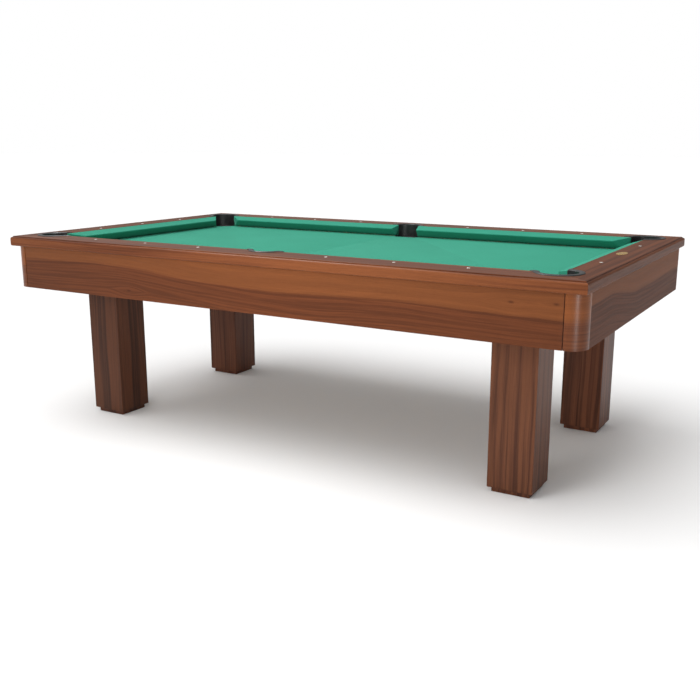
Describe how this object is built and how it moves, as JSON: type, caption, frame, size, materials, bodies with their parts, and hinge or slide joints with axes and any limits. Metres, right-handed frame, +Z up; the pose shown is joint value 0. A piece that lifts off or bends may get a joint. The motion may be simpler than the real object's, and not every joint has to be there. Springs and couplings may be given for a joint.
{
  "type": "pool table",
  "caption": "Eight-foot pool table with square legs on levelling feet, stepped rail caps, slate bed under green cloth and drop pockets.",
  "frame": {"origin": "on the floor under the middle of the table", "axes": "+X along the table, towards the end with the oval plate; +Y across it, away from the front long side; +Z up"},
  "size_m": [2.597, 1.496, 0.842],
  "materials": {
    "cap_wood": "satin",
    "apron_wood": "satin",
    "post_wood": "satin",
    "leg_wood": "satin",
    "frame_wood": "matte",
    "green_cloth": "matte",
    "cushion_rubber": "matte",
    "facing_rubber": "matte",
    "pocket_black": "satin",
    "slate": "matte",
    "sight_pearl": "gloss",
    "plate_brass": "polished",
    "steel": "satin"
  },
  "bodies": {
    "root": {"apron_back": "apron_wood", "apron_front": "apron_wood", "apron_left_end": "apron_wood", "apron_right_end": "apron_wood", "bed_cloth": "green_cloth", "blank_oval_plate": "plate_brass", "cabinet_screws": "steel", "corner_post_back_left": "post_wood", "corner_post_back_right": "post_wood", "corner_post_front_left": "post_wood", "corner_post_front_right": "post_wood", "cross_beams": "frame_wood", "cushion_cloth_back_left": "green_cloth", "cushion_cloth_back_right": "green_cloth", "cushion_cloth_front_left": "green_cloth", "cushion_cloth_front_right": "green_cloth", "cushion_cloth_left_end": "green_cloth", "cushion_cloth_right_end": "green_cloth", "cushion_rubbers_end": "cushion_rubber", "cushion_rubbers_long": "cushion_rubber", "inner_frame_boards": "frame_wood", "leg_back_left": "leg_wood", "leg_back_right": "leg_wood", "leg_bolts": "steel", "leg_front_left": "leg_wood", "leg_front_right": "leg_wood", "leg_platforms": "frame_wood", "long_beams": "frame_wood", "pocket_back_left": "pocket_black", "pocket_back_right": "pocket_black", "pocket_back_side": "pocket_black", "pocket_facings": "facing_rubber", "pocket_front_left": "pocket_black", "pocket_front_right": "pocket_black", "pocket_front_side": "pocket_black", "rail_bolts": "steel", "rail_cap_back_left": "cap_wood", "rail_cap_back_right": "cap_wood", "rail_cap_front_left": "cap_wood", "rail_cap_front_right": "cap_wood", "rail_cap_left_end": "cap_wood", "rail_cap_right_end": "cap_wood", "rail_sights": "sight_pearl", "slate_backing_boards": "frame_wood", "slate_centre": "slate", "slate_left": "slate", "slate_right": "slate", "slate_screws": "steel", "subrails_end": "frame_wood", "subrails_long": "frame_wood", "threaded_inserts": "steel"},
    "foot_front_right": {"foot_front_right": "leg_wood"},
    "screw_front_right": {"levelling_screw_front_right": "steel"},
    "foot_front_left": {"foot_front_left": "leg_wood"},
    "screw_front_left": {"levelling_screw_front_left": "steel"},
    "foot_back_right": {"foot_back_right": "leg_wood"},
    "screw_back_right": {"levelling_screw_back_right": "steel"},
    "foot_back_left": {"foot_back_left": "leg_wood"},
    "screw_back_left": {"levelling_screw_back_left": "steel"}
  },
  "joints": [
    {"name": "foot_lift_front_right", "type": "slide", "parent": "root", "child": "foot_front_right", "axis": [0, 0, -1], "range_m": [0, 0.015]},
    {"name": "screw_turn_front_right", "type": "hinge", "parent": "foot_front_right", "child": "screw_front_right", "pos_m": [0.9922, -0.431, 0.05], "axis": [0, 0, -1], "range_deg": [0, 2700]},
    {"name": "foot_lift_front_left", "type": "slide", "parent": "root", "child": "foot_front_left", "axis": [0, 0, -1], "range_m": [0, 0.015]},
    {"name": "screw_turn_front_left", "type": "hinge", "parent": "foot_front_left", "child": "screw_front_left", "pos_m": [-0.9922, -0.431, 0.05], "axis": [0, 0, -1], "range_deg": [0, 2700]},
    {"name": "foot_lift_back_right", "type": "slide", "parent": "root", "child": "foot_back_right", "axis": [0, 0, -1], "range_m": [0, 0.015]},
    {"name": "screw_turn_back_right", "type": "hinge", "parent": "foot_back_right", "child": "screw_back_right", "pos_m": [0.9922, 0.431, 0.05], "axis": [0, 0, -1], "range_deg": [0, 2700]},
    {"name": "foot_lift_back_left", "type": "slide", "parent": "root", "child": "foot_back_left", "axis": [0, 0, -1], "range_m": [0, 0.015]},
    {"name": "screw_turn_back_left", "type": "hinge", "parent": "foot_back_left", "child": "screw_back_left", "pos_m": [-0.9922, 0.431, 0.05], "axis": [0, 0, -1], "range_deg": [0, 2700]}
  ],
  "couplings": [
    {"joint": "screw_turn_front_right", "follows": "foot_lift_front_right", "rad_per_m": 3141.6},
    {"joint": "screw_turn_front_left", "follows": "foot_lift_front_left", "rad_per_m": 3141.6},
    {"joint": "screw_turn_back_right", "follows": "foot_lift_back_right", "rad_per_m": 3141.6},
    {"joint": "screw_turn_back_left", "follows": "foot_lift_back_left", "rad_per_m": 3141.6}
  ]
}
